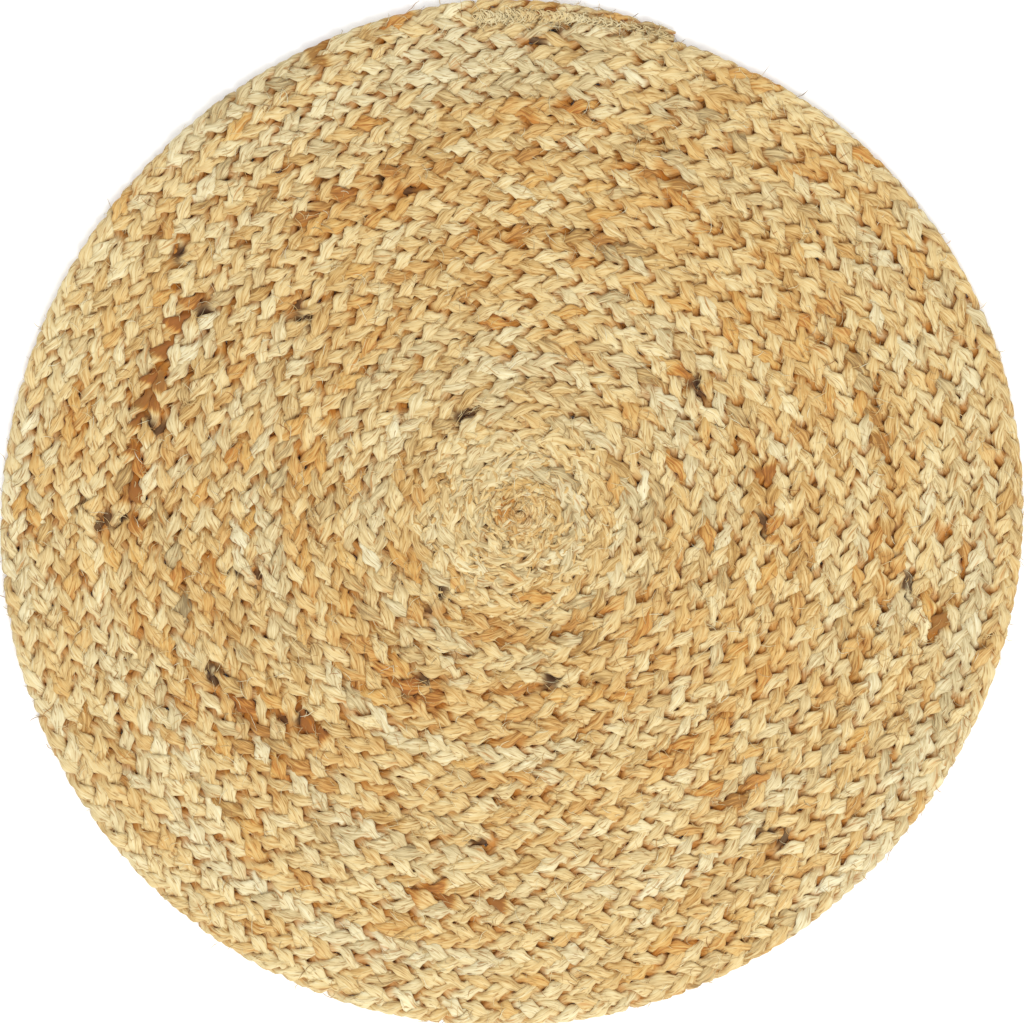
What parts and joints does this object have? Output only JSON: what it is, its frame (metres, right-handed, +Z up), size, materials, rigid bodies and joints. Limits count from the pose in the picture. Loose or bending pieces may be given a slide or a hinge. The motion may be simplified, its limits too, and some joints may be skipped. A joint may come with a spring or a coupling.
{
  "type": "area rug",
  "caption": "Round rug made of one flat plait of jute, coiled from its centre and laced to itself in a disc that lies on the floor",
  "frame": {"origin": "middle of the outline's box, on the floor that the rug lies on", "axes": "+Z up, out of the rug's upper face; the tip of the tail lies 72 degrees counterclockwise from +X, seen from above"},
  "size_m": [0.5996, 0.6014, 0.0103],
  "materials": {
    "jute_strand_a": "dry plant fibre, matt with a slight silky sheen, straw to golden",
    "jute_strand_b": "dry plant fibre, matt with a slight silky sheen, pale straw",
    "jute_strand_c": "dry plant fibre, matt with a slight silky sheen, golden with brown streaks",
    "lacing_thread": "spun natural thread, matt",
    "stitching": "spun natural thread, matt",
    "centre_knot": "tangled dry fibre, matt, orange brown"
  },
  "bodies": {
    "root": {"centre_knot": "centre_knot", "lacing_thread_1": "lacing_thread", "lacing_thread_2": "lacing_thread", "lacing_thread_3": "lacing_thread", "lacing_thread_4": "lacing_thread", "lacing_thread_5": "lacing_thread", "lacing_thread_6": "lacing_thread", "strand_a_01": "jute_strand_a", "strand_a_02": "jute_strand_a", "strand_a_03": "jute_strand_a", "strand_a_04": "jute_strand_a", "strand_a_05": "jute_strand_a", "strand_a_06": "jute_strand_a", "strand_a_07": "jute_strand_a", "strand_a_08": "jute_strand_a", "strand_a_09": "jute_strand_a", "strand_a_10": "jute_strand_a", "strand_a_11": "jute_strand_a", "strand_a_12": "jute_strand_a", "strand_b_01": "jute_strand_b", "strand_b_02": "jute_strand_b", "strand_b_03": "jute_strand_b", "strand_b_04": "jute_strand_b", "strand_b_05": "jute_strand_b", "strand_b_06": "jute_strand_b", "strand_b_07": "jute_strand_b", "strand_b_08": "jute_strand_b", "strand_b_09": "jute_strand_b", "strand_b_10": "jute_strand_b", "strand_b_11": "jute_strand_b", "strand_b_12": "jute_strand_b", "strand_c_01": "jute_strand_c", "strand_c_02": "jute_strand_c", "strand_c_03": "jute_strand_c", "strand_c_04": "jute_strand_c", "strand_c_05": "jute_strand_c", "strand_c_06": "jute_strand_c", "strand_c_07": "jute_strand_c", "strand_c_08": "jute_strand_c", "strand_c_09": "jute_strand_c", "strand_c_10": "jute_strand_c", "strand_c_11": "jute_strand_c", "strand_c_12": "jute_strand_c", "tail_stitching": "stitching"}
  },
  "joints": []
}
